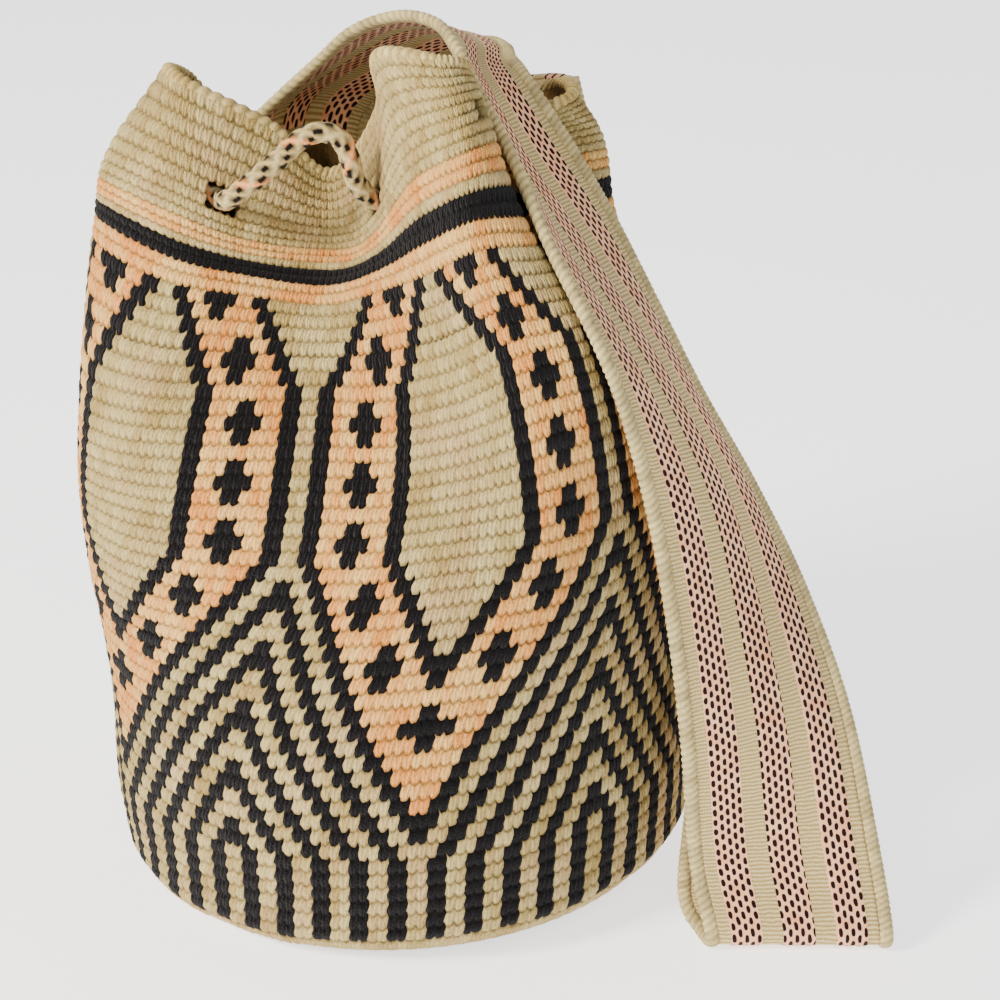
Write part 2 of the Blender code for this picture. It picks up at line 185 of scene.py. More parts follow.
def cloth(stitches, rows):
    """Points of the cloth's outer face, for flat lists of stitch and row numbers."""
    drawn = np.array([outline(row, stitches) for row in DRAWN_ROWS])
    at = np.array(DRAWN_ROWS, float)
    gaps = np.diff(at)[:, None, None]
    steps = np.diff(drawn, axis=0) / gaps
    slopes = np.empty_like(drawn)
    slopes[0], slopes[-1] = steps[0], steps[-1]
    slopes[1:-1] = (steps[:-1] * gaps[1:] + steps[1:] * gaps[:-1]) / (gaps[1:] + gaps[:-1])
    index = np.clip(np.searchsorted(at, rows, side="right") - 1, 0, len(at) - 2)
    number = np.arange(len(rows))
    gap = (at[index + 1] - at[index])[:, None]
    part = ((rows - at[index]) / gap[:, 0])[:, None]
    points = ((2 * part ** 3 - 3 * part ** 2 + 1) * drawn[index, number]
              + (part ** 3 - 2 * part ** 2 + part) * gap * slopes[index, number]
              + (3 * part ** 2 - 2 * part ** 3) * drawn[index + 1, number]
              + (part ** 3 - part ** 2) * gap * slopes[index + 1, number])
    turn = np.arctan2(drawn[0, :, 0], -drawn[0, :, 1])
    points[:, 2] += BASE_CLEAR + BASE_LIFT * (1 + np.sin(turn)) + rows * ROW_HEIGHT
    points[:, 0] -= LEAN * points[:, 2]
    return points


def unit(vectors):
    """The same vectors, one long."""
    return vectors / np.maximum(np.linalg.norm(vectors, axis=-1, keepdims=True), 1e-9)


def cloth_out(stitches, rows, step=0.5):
    """Unit normals of the cloth."""
    right = cloth(stitches + step, rows) - cloth(stitches - step, rows)
    up = cloth(stitches, rows + step) - cloth(stitches, rows - step)
    return unit(np.cross(right, up))


def smooth_field(seed, rows, columns, tall, wide):
    """Soft random numbers from -1 to 1, closed round the bag."""
    table = np.random.default_rng(seed).uniform(-1, 1, (tall + 2, wide))
    y = np.clip(rows / ROWS, 0, 1) * tall
    x = (columns / STITCHES % 1) * wide
    y0 = np.floor(y).astype(int)
    x0 = np.floor(x).astype(int)
    fy = (y - y0) ** 2 * (3 - 2 * (y - y0))
    fx = (x - x0) ** 2 * (3 - 2 * (x - x0))
    low = table[y0, x0 % wide] * (1 - fx) + table[y0, (x0 + 1) % wide] * fx
    high = table[y0 + 1, x0 % wide] * (1 - fx) + table[y0 + 1, (x0 + 1) % wide] * fx
    return low * (1 - fy) + high * fy


# ---------- meshes ----------

def mesh_piece(name, points, faces, finish, uv=None, colours=None):
    """A mesh object from arrays: four-cornered faces, with a UV and a colour for each corner."""
    points = np.asarray(points, np.float32)
    faces = np.asarray(faces, np.int32)
    mesh = bpy.data.meshes.new(name)
    mesh.vertices.add(len(points))
    mesh.vertices.foreach_set("co", points.ravel())
    mesh.loops.add(faces.size)
    mesh.loops.foreach_set("vertex_index", faces.ravel())
    mesh.polygons.add(len(faces))
    mesh.polygons.foreach_set("loop_start", np.arange(0, faces.size, 4, dtype=np.int32))
    mesh.polygons.foreach_set("loop_total", np.full(len(faces), 4, dtype=np.int32))
    mesh.update(calc_edges=True)
    if uv is not None:
        layer = mesh.uv_layers.new(name="count")
        layer.data.foreach_set("uv", np.asarray(uv, np.float32).ravel())
    if colours is not None:
        paint = mesh.color_attributes.new(name="yarn", type="FLOAT_COLOR", domain="CORNER")
        full = np.ones((faces.size, 4), np.float32)
        full[:, :3] = np.asarray(colours, np.float32).reshape(-1, 3)
        paint.data.foreach_set("color", full.ravel())
    mesh.validate()
    mesh.materials.append(finish)
    mesh.shade_smooth()
    piece = bpy.data.objects.new(name, mesh)
    bpy.context.collection.objects.link(piece)
    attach(piece, "root")
    return piece


def ring_faces(rings, around, start=0):
    """Faces between closed rings of points."""
    row, column = np.meshgrid(np.arange(rings - 1), np.arange(around), indexing="ij")
    after = (column + 1) % around
    corners = [row * around + column, row * around + after,
               (row + 1) * around + after, (row + 1) * around + column]
    return np.stack(corners, axis=-1).reshape(-1, 4) + start


def circle(sides):
    """Even angles round a circle."""
    return np.arange(sides) * 2 * math.pi / sides


def swept_tube(centres, first, second, radii):
    """Rings of points: centres (n,3), two unit side directions (n,3) and radii (n,m)."""
    turn = circle(radii.shape[1])
    return (centres[:, None]
            + first[:, None] * (radii * np.cos(turn))[..., None]
            + second[:, None] * (radii * np.sin(turn))[..., None])


def closing_faces(base, around, flip):
    """Faces that close a ring of points straight across."""
    faces = [[base + k, base + k + 1, base + around - 2 - k, base + around - 1 - k]
             for k in range(around // 2 - 1)]
    return [face[::-1] for face in faces] if flip else faces


def tube_piece(name, centres, first, second, radii, finish, colours):
    """A tube closed at both ends by small rings."""
    rings = swept_tube(centres, first, second, radii)
    sides = radii.shape[1]
    tips = [rings[end] * TIP + centres[end] * (1 - TIP) for end in (0, -1)]
    points = np.vstack([tips[0][None], rings, tips[1][None]])
    last = (len(points) - 1) * sides
    faces = np.vstack([ring_faces(len(points), sides), closing_faces(0, sides, True),
                       closing_faces(last, sides, False)])
    flat = np.concatenate([colours[:1], colours, colours[-1:]]).reshape(-1, 3)
    return mesh_piece(name, points.reshape(-1, 3), faces, finish, colours=flat[faces.ravel()])


def length_along(points):
    """The length of a path up to each of its points."""
    return np.concatenate([[0], np.cumsum(np.linalg.norm(np.diff(points, axis=0), axis=1))])


def along_curve(points, spacing):
    """Evenly spaced points on a smooth curve, and the length so far at each."""
    fine = open_curve(np.asarray(points, float), np.linspace(0, len(points) - 1, 24 * len(points)))
    length = length_along(fine)
    wanted = np.linspace(0, length[-1], max(2, round(length[-1] / spacing)) + 1)
    return np.stack([np.interp(wanted, length, fine[:, k]) for k in range(3)], axis=1), wanted


def side_directions(points):
    """Two directions square to a path that don't spin along it."""
    tangent = unit(np.gradient(points, axis=0))
    first = np.empty_like(points)
    side = np.cross(tangent[0], (0.0, 0.3, 1.0))
    for k, way in enumerate(tangent):
        side = side - way * (side @ way)
        side /= np.linalg.norm(side)
        first[k] = side
    return first, np.cross(tangent, first)


# ---------- materials ----------

def linear(red, green, blue):
    """A colour given as 0 to 255 on a screen."""
    return tuple(((value / 255 + 0.055) / 1.055) ** 2.4 if value > 10 else value / 3295
                 for value in (red, green, blue))


class Nodes:
    """Short calls for building a material."""

    def __init__(self, name, roughness, sheen):
        self.material = bpy.data.materials.new(name)
        self.material.use_nodes = True
        self.tree = self.material.node_tree
        self.shader = self.tree.nodes["Principled BSDF"]
        self.shader.inputs["Roughness"].default_value = roughness
        self.shader.inputs["Specular IOR Level"].default_value = 0.12
        self.shader.inputs["Sheen Weight"].default_value = sheen
        self.shader.inputs["Sheen Roughness"].default_value = 0.5

    def new(self, kind, **settings):
        """A node with its settings."""
        made = self.tree.nodes.new(kind)
        for key, value in settings.items():
            setattr(made, key, value)
        return made

    def feed(self, socket, value):
        """Link a socket to another, or set it to a value."""
        if isinstance(value, bpy.types.NodeSocket):
            self.tree.links.new(value, socket)
        else:
            socket.default_value = value

    def math(self, operation, first, second=0.0, third=0.0):
        made = self.new("ShaderNodeMath", operation=operation)
        for socket, value in zip(made.inputs, (first, second, third)):
            self.feed(socket, value)
        return made.outputs[0]

    def place(self):
        """The place on the piece, in metres."""
        return self.new("ShaderNodeTexCoord").outputs["Object"]

    def count(self):
        """The UV map, which counts stitches and rows, as two numbers."""
        made = self.new("ShaderNodeUVMap", uv_map="count")
        split = self.new("ShaderNodeSeparateXYZ")
        self.feed(split.inputs[0], made.outputs[0])
        return split.outputs[0], split.outputs[1]

    def noise(self, scale, detail=3.0, rough=0.6):
        """Soft noise: scale counts its lumps in a metre."""
        made = self.new("ShaderNodeTexNoise")
        self.feed(made.inputs["Vector"], self.place())
        made.inputs["Scale"].default_value = scale
        made.inputs["Detail"].default_value = detail
        made.inputs["Roughness"].default_value = rough
        return made.outputs[0]

    def ramp(self, value, low, high):
        """The value as 0 at low and 1 at high."""
        made = self.new("ShaderNodeMapRange")
        self.feed(made.inputs[0], value)
        made.inputs[1].default_value = low
        made.inputs[2].default_value = high
        return made.outputs[0]

    def mix(self, factor, first, second, blend="MIX"):
        made = self.new("ShaderNodeMix", data_type="RGBA", blend_type=blend)
        self.feed(made.inputs["Factor"], factor)
        for socket, value in ((made.inputs[6], first), (made.inputs[7], second)):
            self.feed(socket, (*value, 1.0) if isinstance(value, tuple) else value)
        return made.outputs[2]

    def dyed(self, amount, dark, pale):
        """The colour on the mesh, each yarn's colour with painted shade baked in at grooves and linings,
        with a fine mottle over it.
        """
        yarn = self.new("ShaderNodeAttribute", attribute_name="yarn").outputs["Color"]
        shade = self.ramp(self.noise(750.0, 4.0, 0.75), 0.32, 0.68)
        return self.mix(amount, yarn, self.mix(shade, dark, pale), "MULTIPLY")

    def finish(self, colour, height, strength, distance):
        """Join the colour and a bump to the shader."""
        self.feed(self.shader.inputs["Base Color"], colour)
        bump = self.new("ShaderNodeBump")
        bump.inputs["Strength"].default_value = strength
        bump.inputs["Distance"].default_value = distance
        self.feed(bump.inputs["Height"], height)
        self.feed(self.shader.inputs["Normal"], bump.outputs[0])
        return self.material


def crochet_material(name):
    """Cotton crochet: two yarn legs a stitch that open upwards, fine twist, a mottled dye and painted shade
    beside the legs.
    """
    make = Nodes(name, roughness=0.92, sheen=0.06)
    across, up = make.count()
    column = make.math("FRACT", across)
    row = make.math("FRACT", up)
    off_middle = make.math("MULTIPLY", make.math("ABSOLUTE", make.math("SUBTRACT", column, 0.5)), 2.0)
    leg_at = make.math("MULTIPLY_ADD", row, 0.42, 0.24)
    off_leg = make.math("DIVIDE", make.math("SUBTRACT", off_middle, leg_at), 0.34)
    leg = make.math("SUBTRACT", 1.0, make.math("MULTIPLY", off_leg, off_leg))
    leg = make.math("MAXIMUM", leg, 0.0)
    ply = make.math("SINE", make.math("ADD", make.math("MULTIPLY", off_middle, 9.0),
                                      make.math("MULTIPLY", row, 22.0)))
    fuzz = make.noise(1100.0, 5.0, 0.75)
    height = make.math("ADD", make.math("MULTIPLY", leg, 0.40),
                       make.math("ADD", make.math("MULTIPLY", ply, 0.06), make.math("MULTIPLY", fuzz, 1.1)))
    colour = make.dyed(0.55, (0.56, 0.52, 0.46), (1.30, 1.28, 1.26))
    # Painted shade: the colour is darkened where the stitch legs sink, between and beside them.
    leg_shade = make.math("MULTIPLY_ADD", leg, 0.26, 0.76)
    leg_shade_colour = make.new("ShaderNodeCombineColor")
    for socket in leg_shade_colour.inputs:
        make.feed(socket, leg_shade)
    colour = make.mix(0.75, colour, leg_shade_colour.outputs[0], "MULTIPLY")
    return make.finish(colour, height, strength=0.9, distance=1.1 * MM)


def strap_material():
    """Woven band: three dotted stripes with raised dashes between ribbed beige ones, with painted shade in
    the grooves of the beige ribs.
    """
    make = Nodes("woven_strap_cotton", roughness=0.9, sheen=0.06)
    across, along = make.count()
    wander = make.math("SUBTRACT", make.noise(260.0, 2.0), 0.5)
    across_soft = make.math("MULTIPLY_ADD", wander, 0.010, across)
    along_soft = make.math("MULTIPLY_ADD", wander, 0.0014, along)
    dotted = 0.0
    for centre, half in STRIPES:
        inside = make.math("LESS_THAN", make.math("ABSOLUTE", make.math("SUBTRACT", across, centre)), half)
        dotted = make.math("ADD", inside, dotted)
    thread = make.math("MULTIPLY_ADD", across_soft, 1 / 0.033, 0.76)
    thread_part = make.math("ABSOLUTE", make.math("SUBTRACT", make.math("FRACT", thread), 0.5))
    stagger = make.math("MULTIPLY", make.math("MODULO", make.math("FLOOR", thread), 2.0), 0.5)
    pick = make.math("ADD", make.math("DIVIDE", along_soft, 4.1 * MM), stagger)
    pick_part = make.math("ABSOLUTE", make.math("SUBTRACT", make.math("FRACT", pick), 0.5))
    oval = make.math("ADD", make.math("POWER", make.math("DIVIDE", pick_part, 0.35), 2.4),
                     make.math("POWER", make.math("DIVIDE", thread_part, 0.34), 2.4))
    dash = make.math("MULTIPLY", make.math("SUBTRACT", 1.0, make.ramp(oval, 0.75, 1.2)), dotted)
    rib = make.math("SINE", make.math("MULTIPLY", along_soft, 2 * math.pi / (1.5 * MM)))
    rib = make.math("MULTIPLY_ADD", rib, 0.5, 0.5)
    warp_thread = make.math("SINE", make.math("MULTIPLY", across_soft, 2 * math.pi / 0.0138))
    rib = make.math("MULTIPLY", rib, make.math("MULTIPLY_ADD", warp_thread, 0.22, 0.78))
    plain = make.math("SUBTRACT", 1.0, dotted)
    mottle = make.ramp(make.noise(180.0, 3.0), 0.3, 0.7)
    ground = make.mix(mottle, linear(226, 158, 118), linear(244, 194, 152))
    # Painted shade: the beige darkens to olive brown in the grooves between ribs and between warp threads,
    # where the bump sinks.
    beige = make.mix(rib, linear(158, 132, 82), linear(224, 206, 152))
    colour = make.mix(dotted, beige, ground)
    colour = make.mix(dash, colour, linear(30, 8, 12))
    height = make.math("ADD", make.math("MULTIPLY", make.math("MULTIPLY", rib, plain), 0.5),
                       make.math("ADD", make.math("MULTIPLY", dash, 0.5),
                                 make.math("MULTIPLY", make.noise(1800.0, 3.0), 0.35)))
    return make.finish(colour, height, strength=0.7, distance=0.7 * MM)


def cord_material(name):
    """Twisted or braided yarn with its colours, and painted shade between its strands and lobes, on the
    mesh.
    """
    make = Nodes(name, roughness=0.9, sheen=0.06)
    colour = make.dyed(0.5, (0.58, 0.54, 0.48), (1.28, 1.26, 1.22))
    return make.finish(colour, make.noise(1100.0, 5.0, 0.75), strength=0.9, distance=0.6 * MM)


def floor_material():
    """A pale floor that gives off a little light, so that it stays pale."""
    make = Nodes("pale_studio_floor", roughness=0.7, sheen=0.0)
    make.shader.inputs["Emission Color"].default_value = (1.0, 1.0, 1.0, 1.0)
    make.shader.inputs["Emission Strength"].default_value = 1.6
    cloud = make.noise(3.0, 2.0)
    colour = make.mix(cloud, (0.86, 0.86, 0.87), (0.90, 0.90, 0.90))
    return make.finish(colour, cloud, strength=0.02, distance=MM)


# ---------- camera and drawstring ----------

def make_camera():
    """The camera in front, looking down a little."""
    lens = bpy.data.cameras.new("camera")
    lens.lens = LENS_MM
    lens.sensor_width = SENSOR_MM
    camera = bpy.data.objects.new("camera", lens)
    camera.location = CAMERA_AT
    camera.rotation_euler = (math.pi / 2 - CAMERA_DOWN, 0.0, 0.0)
    bpy.context.collection.objects.link(camera)
    bpy.context.scene.camera = camera


def beside_cloth(table):
    """Points given as a stitch, a row and millimetres out from the cloth."""
    stitch, row, out = np.array(table, float).T
    return cloth(stitch, row) + cloth_out(stitch, row) * out[:, None] * MM


def cord_points():
    """The drawstring's route, the same as the CAD cord's."""
    return np.vstack([beside_cloth(TAIL_LEFT + LACED_LEFT), np.array(BIGHT, float) * MM,
                      beside_cloth(LACED_ROUND + TAIL_RIGHT)])


def make_drawstring(finish):
    """Round braid: eight strands, four each way, beige with black and peach among them."""
    centres, length = along_curve(cord_points(), 0.8 * MM)
    first, second = side_directions(centres)
    turn = circle(BRAID_SIDES)
    phase = length[:, None] / BRAID_PITCH * 2 * math.pi
    one_way = np.abs(np.sin((turn + phase) * 2))
    other_way = np.abs(np.sin((turn - phase) * 2))
    radii = CORD_RADIUS * (0.80 + 0.24 * np.maximum(one_way, other_way))
    strand = np.floor((turn + phase) * 4 / (2 * math.pi)).astype(int) % 4
    back = np.floor((turn - phase) * 4 / (2 * math.pi)).astype(int) % 4
    palette = np.array([linear(212, 192, 138), linear(196, 172, 116),
                        linear(14, 9, 13), linear(244, 170, 104)])
    light, dull, black, peach = range(4)
    pick = np.where(one_way > other_way, np.where(strand % 2 == 0, black, light),
                    np.where(back == 1, peach, dull))
    # Painted shade: strands darken towards the grooves between them, by the braid's radius.
    groove_shade = np.clip((radii / CORD_RADIUS - 0.96) / 0.08, 0, 1)[..., None]
    colours = palette[pick] * (0.45 + 0.55 * groove_shade)
    piece = tube_piece("drawstring_braid", centres, first, second, radii, finish, colours)
    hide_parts("drawstring")
    return piece, centres, length[-1]


# ---------- the crocheted cloth ----------

def yarn_at(stitch, row):
    """Which yarn a stitch is worked in: five leaves between nested chevrons."""
    off = np.abs((stitch + 0.5 + 20) % 40 - 20)
    line = off - (np.maximum(row, 6) - 9)
    yarn = np.where(np.mod(line, 4) < 2, BLACK, BEIGE)
    yarn = np.where((row >= 10) & (off < row - 9), PEACH, yarn)
    yarn = np.where((row >= 18) & (off < row - 17), BLACK, yarn)
    yarn = np.where((row >= 20) & (off < row - 19), BEIGE, yarn)
    for low, high, drop in ((26, 37, 0), (38, 43, 1)):
        shift = (row - 37) * drop
        worked = (row >= low) & (row <= high)
        tall = np.select([off < 7 - shift, off < 9 - shift, off < 17 - shift, off < 19 - shift],
                         [BEIGE, BLACK, PEACH, BLACK], BEIGE)
        yarn = np.where(worked, tall, yarn)
    for middle, at in ((19, 6), (23, 10), (27, 13), (31, 13), (35, 13), (39, 11), (43, 7)):
        near = np.abs(off - at)
        cross = ((row == middle) & (near < 2)) | ((row == middle - 1) & (near < 1))
        if middle < 43:
            cross |= (row == middle + 1) & (near < 1)
        yarn = np.where(cross, BLACK, yarn)
    star = ((row == 15) & (off < 3)) | ((np.abs(row - 15) == 1) & (off < 1))
    yarn = np.where(star, BLACK, yarn)
    yarn = np.where(row >= 44, BEIGE, yarn)
    yarn = np.where((row == 44) | (row == 45) | (row == 49) | (row == 50), PEACH, yarn)
    yarn = np.where((row == 46) | (row == 47), BLACK, yarn)
    return np.where(row <= 0, BEIGE, yarn)


def yarn_colours(yarn, stitch, row):
    """Hand-dyed cotton: each stitch differs a little, and in patches."""
    shape = yarn.shape
    own = np.random.default_rng(7).uniform(-1, 1, (ROWS + 2, STITCHES))
    own = own[np.clip(row, 0, ROWS).astype(int), stitch.astype(int) % STITCHES]
    patch = smooth_field(11, row.ravel(), stitch.ravel(), 24, 80).reshape(shape)
    warm = smooth_field(12, row.ravel(), stitch.ravel(), 16, 50).reshape(shape)
    mottle = np.clip(0.5 + 0.38 * own + 0.45 * patch, 0, 1)[..., None]
    cream, orange = np.array(linear(255, 206, 124)), np.array(linear(243, 160, 78))
    peach = cream * mottle + orange * (1 - mottle)
    light, olive = np.array(linear(216, 196, 134)), np.array(linear(184, 158, 96))
    pink = np.array(linear(222, 186, 138))
    beige = light * mottle + olive * (1 - mottle)
    hue = np.clip(warm, 0, 1)[..., None] * 0.5
    beige = beige * (1 - hue) + pink * hue
    black = np.array(linear(9, 5, 8)) * (0.6 + 0.9 * mottle)
    wanted = [yarn[..., None] == BLACK, yarn[..., None] == PEACH]
    return np.where(wanted[0], black, np.where(wanted[1], peach, beige))


def warp(column, line):
    """How far a stitch's outline strays from a plain grid: rounded feet and hooked tops."""
    part = column % 1
    height = line % 1
    foot = -0.16 * np.sin(np.pi * part) ** 0.7 + 0.13 * (part < 0.1) + 0.05 * (part - 0.5)
    foot = foot * np.select([height < 0.1, height < 0.3], [1.0, 0.6], 0.25)
    hook = np.select([height < 0.1, height < 0.3, height < 0.6], [0.0, -0.05, 0.0], 0.14)
    hook = hook * np.where(part < 0.1, 1.0, 0.55)
    rng = np.random.default_rng(21)
    stray = rng.uniform(-1, 1, (2, ROWS * 4 + 2, STITCHES * PER_STITCH))
    i = np.round(line * 4).astype(int).clip(0, ROWS * 4)
    j = np.round(column * PER_STITCH).astype(int) % (STITCHES * PER_STITCH)
    return hook + 0.07 * stray[0, i, j], foot + 0.05 * stray[1, i, j]


def relief(column, line):
    """Height of the stitches: a rib for each row, and a low lump for each stitch."""
    part = column % 1
    height = line % 1
    rib = np.select([height < 0.1, height < 0.3, height < 0.6], [-0.55, 0.25, 0.45], 0.15)
    lump = 0.20 * np.sin(np.pi * part) - 0.1
    own = np.random.default_rng(31).uniform(-1, 1, (ROWS + 2, STITCHES))
    own = own[np.clip(line, 0, ROWS).astype(int), np.floor(column).astype(int) % STITCHES]
    sway = smooth_field(33, line.ravel(), column.ravel(), 12, 26).reshape(line.shape)
    return (rib + lump + 0.14 * own + 0.55 * sway) * MM


def worked_face(line, column):
    """Points of the outer face, worked stitch by stitch."""
    shift, lift = warp(column, line)
    inside = (line > 0) & (line < ROWS)
    at_row = np.clip(line + np.where(inside, lift, 0.0), 0, ROWS)
    sway = smooth_field(41, line.ravel(), column.ravel(), 10, 22).reshape(line.shape)
    row = np.clip(at_row + 0.10 * sway * inside, 0, ROWS).ravel()
    stitch = (column + shift).ravel()
    out = cloth_out(stitch, np.clip(row, 0.3, ROWS - 0.3))
    return cloth(stitch, row) + out * relief(column, line).ravel()[:, None]


def lining(line, column):
    """Points of the inner face, which is plain."""
    stitch, row = column.ravel(), line.ravel()
    return cloth(stitch, row) - cloth_out(stitch, np.clip(row, 0.3, ROWS - 0.3)) * WALL


def band_faces(lines, inner_lines, numbers):
    """The faces of a band and which of them line it: both faces, both edges and the eyelets."""
    around = len(numbers)
    inner_start = len(lines) * around
    face = ring_faces(len(lines), around)
    face = face[~in_eyelet(np.tile(numbers, len(lines) - 1), np.repeat(lines[:-1], around))]
    back = ring_faces(len(inner_lines), around, inner_start)[:, ::-1]
    back = back[~in_eyelet(np.tile(numbers, len(inner_lines) - 1), np.repeat(inner_lines[:-1], around))]
    step = np.arange(around)
    after = (step + 1) % around
    top_out = (len(lines) - 1) * around
    top_in = inner_start + (len(inner_lines) - 1) * around
    bottom = np.stack([step, inner_start + step, inner_start + after, after], axis=1)
    top = np.stack([top_out + step, top_out + after, top_in + after, top_in + step], axis=1)
    parts = [face, back, bottom, top]
    if lines[-1] == ROWS:
        parts.append(eyelet_walls(lines, inner_lines, around))
    return np.vstack(parts), slice(len(face), len(face) + len(back))


def corner_counts(counts, faces):
    """The stitch and row at each corner of each face, with no face running back round the bag."""
    uv = counts[faces]
    wrapped = uv[:, :, 0].max(axis=1) - uv[:, :, 0].min(axis=1) > STITCHES / 2
    uv[..., 0] = np.where(wrapped[:, None] & (uv[..., 0] < 0), uv[..., 0] + STITCHES, uv[..., 0])
    return uv


def cloth_band(name, low, high, inner_lines, finish):
    """A closed round of the cloth between two rows, its face worked stitch by stitch."""
    lines = np.array([row + part for row in range(low, high) for part in OPEN_ROW_LINES] + [high], float)
    inner_lines = np.array(inner_lines, float)
    numbers = np.arange(STITCHES * PER_STITCH) / PER_STITCH - STITCHES // 2
    line, column = np.meshgrid(lines, numbers, indexing="ij")
    inner_line, inner_column = np.meshgrid(inner_lines, numbers, indexing="ij")
    points = np.vstack([worked_face(line, column), lining(inner_line, inner_column)])
    faces, lined = band_faces(lines, inner_lines, numbers)
    counts = np.vstack([np.stack([column.ravel(), line.ravel()], axis=1),
                        np.stack([inner_column.ravel(), inner_line.ravel()], axis=1)])
    uv = corner_counts(counts, faces)
    centre = uv.mean(axis=1)
    stitch = np.floor(centre[:, 0])
    row = np.floor(np.clip(centre[:, 1], low, high - 0.01))
    colours = yarn_colours(yarn_at(stitch, row), stitch, row)[:, None].repeat(4, axis=1)
    # Painted shade: corners on the line between rows are darkened, more in blue than in red, so that each
    # row boundary reads as a shaded groove.
    groove_shade = np.where(np.abs(uv[..., 1] - np.round(uv[..., 1])) < 0.05, 0.55, 1.0)
    colours = colours * np.stack([groove_shade, groove_shade ** 1.15, groove_shade ** 1.5], axis=-1)
    # The lining is darkened as painted shade inside the bag. Its red tint is partly painted shade and
    # partly the carried yarns that show inside.
    colours[lined] *= np.array([0.62, 0.50, 0.42])
    piece = mesh_piece(name, points, faces, finish, uv=uv, colours=colours)
    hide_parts("bag_body")


def in_eyelet(column, row):
    """Which faces are left out for the eyelets."""
    middle = column + 0.5 / PER_STITCH
    hole = np.zeros(len(column), bool)
    for eyelet in EYELETS:
        near = np.abs((middle - eyelet + STITCHES // 2) % STITCHES - STITCHES // 2) < EYELET_HALF
        hole |= near & (row >= EYELET_ROWS[0] - 0.01) & (row < EYELET_ROWS[1] - 0.01)
    return hole


def at_eyelets(lines):
    """Which of the lines pass the eyelets."""
    return [k for k, value in enumerate(lines) if EYELET_ROWS[0] <= round(value, 3) <= EYELET_ROWS[1]]


def eyelet_walls(lines, inner_lines, around):
    """Faces through the cloth round each eyelet."""
    inner_start = len(lines) * around
    out_rows, in_rows = at_eyelets(lines), at_eyelets(inner_lines)
    tall = len(out_rows) - 1
    width = EYELET_HALF * 2 * PER_STITCH
    walls = []
    for eyelet in EYELETS:
        start = round((eyelet - EYELET_HALF + STITCHES // 2) * PER_STITCH)
        ring = [(0, start + k) for k in range(width)]
        ring += [(k, start + width) for k in range(tall)]
        ring += [(tall, start + width - k) for k in range(width)]
        ring += [(tall - k, start) for k in range(tall)]
        for here, there in zip(ring, ring[1:] + ring[:1]):
            a = out_rows[here[0]] * around + here[1] % around
            b = out_rows[there[0]] * around + there[1] % around
            c = inner_start + in_rows[there[0]] * around + there[1] % around
            d = inner_start + in_rows[here[0]] * around + here[1] % around
            walls.append((b, c, d, a))
    return np.array(walls)


def stitches_round(steps):
    """Even places all round the bag, as stitch numbers."""
    return np.arange(steps) / steps * STITCHES - STITCHES // 2


def base_rings(numbers):
    """Rings of points under the base, from its edge in to the middle."""
    edge = cloth(numbers, np.zeros(BASE_STEPS))
    turn = np.arctan2(edge[:, 0], -edge[:, 1])
    patch = np.stack([BASE_PATCH[0] + BASE_PATCH[2] * np.sin(turn),
                      BASE_PATCH[1] - BASE_PATCH[2] * np.cos(turn), np.zeros(BASE_STEPS)], axis=1)
    middle = np.array([BASE_PATCH[0], BASE_PATCH[1], 0.0])
    last = BASE_RINGS * RING_LINES
    rings = []
    for k in range(last + 1):
        inward = k / last
        if inward <= BASE_CURVE:
            part = inward / BASE_CURVE
            point = edge + (patch - edge) * part
            point[:, 2] = edge[:, 2] * (1 - math.sqrt(1 - (1 - part) ** 2))
        else:
            part = (inward - BASE_CURVE) / (1 - BASE_CURVE)
            point = patch + (middle - patch) * min(part, BASE_STOP)
        rib = 0.5 if k % RING_LINES == 0 else 0.0
        lump = 0.25 * (1 + np.sin(numbers * 2 * math.pi / 2.0)) * (1 - inward)
        point[:, 2] = point[:, 2] + (rib + lump) * MM * (0.5 if k else 1.0)
        rings.append(point)
    return np.array(rings)


def make_base(finish):
    """The round base, crocheted in rings out from the middle."""
    numbers = stitches_round(BASE_STEPS)
    under = base_rings(numbers)
    over = under[::LINING_EVERY].copy()
    over[..., 2] = over[..., 2] + WALL
    points = np.vstack([under.reshape(-1, 3), over.reshape(-1, 3)])
    start = len(under) * BASE_STEPS
    face = ring_faces(len(under), BASE_STEPS)[:, ::-1]
    back = ring_faces(len(over), BASE_STEPS, start)
    step = np.arange(BASE_STEPS)
    after = (step + 1) % BASE_STEPS
    rim = np.stack([step, after, start + after, start + step], axis=1)
    faces = np.vstack([face, back, rim,
                       closing_faces(start - BASE_STEPS, BASE_STEPS, True),
                       closing_faces(start + (len(over) - 1) * BASE_STEPS, BASE_STEPS, False)])
    line = np.concatenate([np.arange(len(under)), np.arange(len(over)) * LINING_EVERY])
    counts = np.stack([np.tile(numbers, len(line)), -np.repeat(line, BASE_STEPS) / RING_LINES], axis=1)
    uv = corner_counts(counts, faces)
    ring = np.floor(-uv[..., 1].mean(axis=1)).astype(int) % BASE_RINGS
    stitch = np.floor(uv[..., 0].mean(axis=1))
    colours = yarn_colours(np.array(BASE_YARNS)[ring], stitch, ring)[:, None].repeat(4, axis=1)
    # Painted shade: the base's upper face, inside the bag, is darkened.
    colours[len(face):len(face) + len(back)] *= 0.6
    piece = mesh_piece("bag_base", points, faces, finish, uv=uv, colours=colours)
    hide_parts("bag_body")


